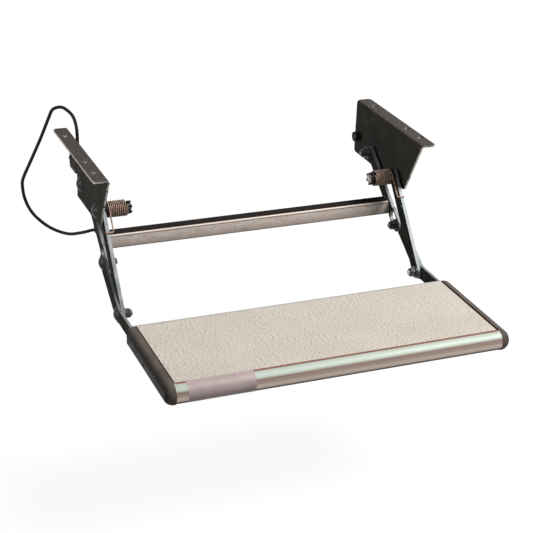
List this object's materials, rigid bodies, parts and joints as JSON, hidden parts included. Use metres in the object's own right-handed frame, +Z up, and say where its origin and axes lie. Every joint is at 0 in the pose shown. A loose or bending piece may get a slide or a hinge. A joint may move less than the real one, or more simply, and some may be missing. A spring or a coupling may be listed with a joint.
{
  "type": "caravan pull out step",
  "caption": "Manual pull-out entrance step: swinging arms on two bolt-on side plates carry a wide grip tread that folds back level under the floor.",
  "frame": {"origin": "middle of the four corner floor-bolt holes, on the top faces of the flanges", "axes": "+X across the step, -Y away from the vehicle (the way the step pulls out), +Z up"},
  "size_m": [0.5644, 0.5435, 0.2299],
  "materials": {
    "plate_steel": "dark coating on sheet steel, satin",
    "arm_steel": "dark zinc on flat steel bar, bright cut edges",
    "bolt_zinc": "bright zinc",
    "galvanised_steel": "galvanised, mottled",
    "spring_bronze": "bronze-brown coated spring wire",
    "tread_aluminium": "anodised, satin",
    "grip_beige": "beige, finely roughened",
    "strip_brown": "brown strip",
    "cap_plastic": "dark grey moulded plastic",
    "black_plastic": "black moulded plastic",
    "pale_plastic": "pale plastic",
    "black_rubber": "black rubber",
    "cable_sheath": "black cable sheath"
  },
  "bodies": {
    "mount_frame": {"side_plate_left": "plate_steel", "side_plate_right": "plate_steel", "rear_pivot_bolts": "bolt_zinc", "rear_pivot_nuts": "bolt_zinc", "front_pivot_bolts": "bolt_zinc", "front_pivot_nuts": "bolt_zinc", "plate_washers": "bolt_zinc", "spring_retainers": "black_plastic", "stop_buffer": "black_rubber", "buffer_screw": "bolt_zinc", "switch_housing": "black_plastic", "switch_screws": "bolt_zinc", "cable_gland": "black_plastic", "switch_cable": "cable_sheath", "cable_plug": "black_plastic"},
    "switch_plunger": {"switch_plunger": "pale_plastic"},
    "front_arms": {"front_arm_left": "arm_steel", "front_arm_right": "arm_steel", "spring_sleeves": "black_plastic", "torsion_spring_left": "spring_bronze", "torsion_spring_right": "spring_bronze"},
    "rear_arms": {"rear_arm_left": "arm_steel", "rear_arm_right": "arm_steel", "cross_bar": "galvanised_steel", "rear_bushes": "arm_steel"},
    "tread": {"tread_profile": "tread_aluminium", "grip_mat": "grip_beige", "nose_strip": "strip_brown", "end_cap_left": "cap_plastic", "end_cap_right": "cap_plastic", "tread_bracket_left": "arm_steel", "tread_bracket_right": "arm_steel", "bracket_screws": "bolt_zinc", "knee_bolts": "bolt_zinc", "knee_nuts": "bolt_zinc", "lower_pivot_bolts": "bolt_zinc", "lower_pivot_nuts": "bolt_zinc"}
  },
  "joints": [
    {"name": "front_arm_swing", "type": "hinge", "parent": "mount_frame", "child": "front_arms", "pos_m": [0, -0.0435, -0.071], "axis": [1, 0, 0], "range_deg": [0, 105.49]},
    {"name": "tread_level", "type": "hinge", "parent": "front_arms", "child": "tread", "pos_m": [0, -0.1395, -0.1885], "axis": [1, 0, 0], "range_deg": [-105.51, 0]},
    {"name": "rear_arm_swing", "type": "hinge", "parent": "mount_frame", "child": "rear_arms", "pos_m": [0, 0.039, -0.062], "axis": [1, 0, 0], "range_deg": [0, 132.4]},
    {"name": "switch_press", "type": "slide", "parent": "mount_frame", "child": "switch_plunger", "axis": [0, 0, 1], "range_m": [0, 0.003], "stiffness_N_per_m": 600}
  ],
  "couplings": [
    {"joint": "tread_level", "follows": "front_arm_swing", "ratio": -1},
    {"joint": "rear_arm_swing", "follows": "front_arm_swing", "ratio": 1.2549}
  ]
}
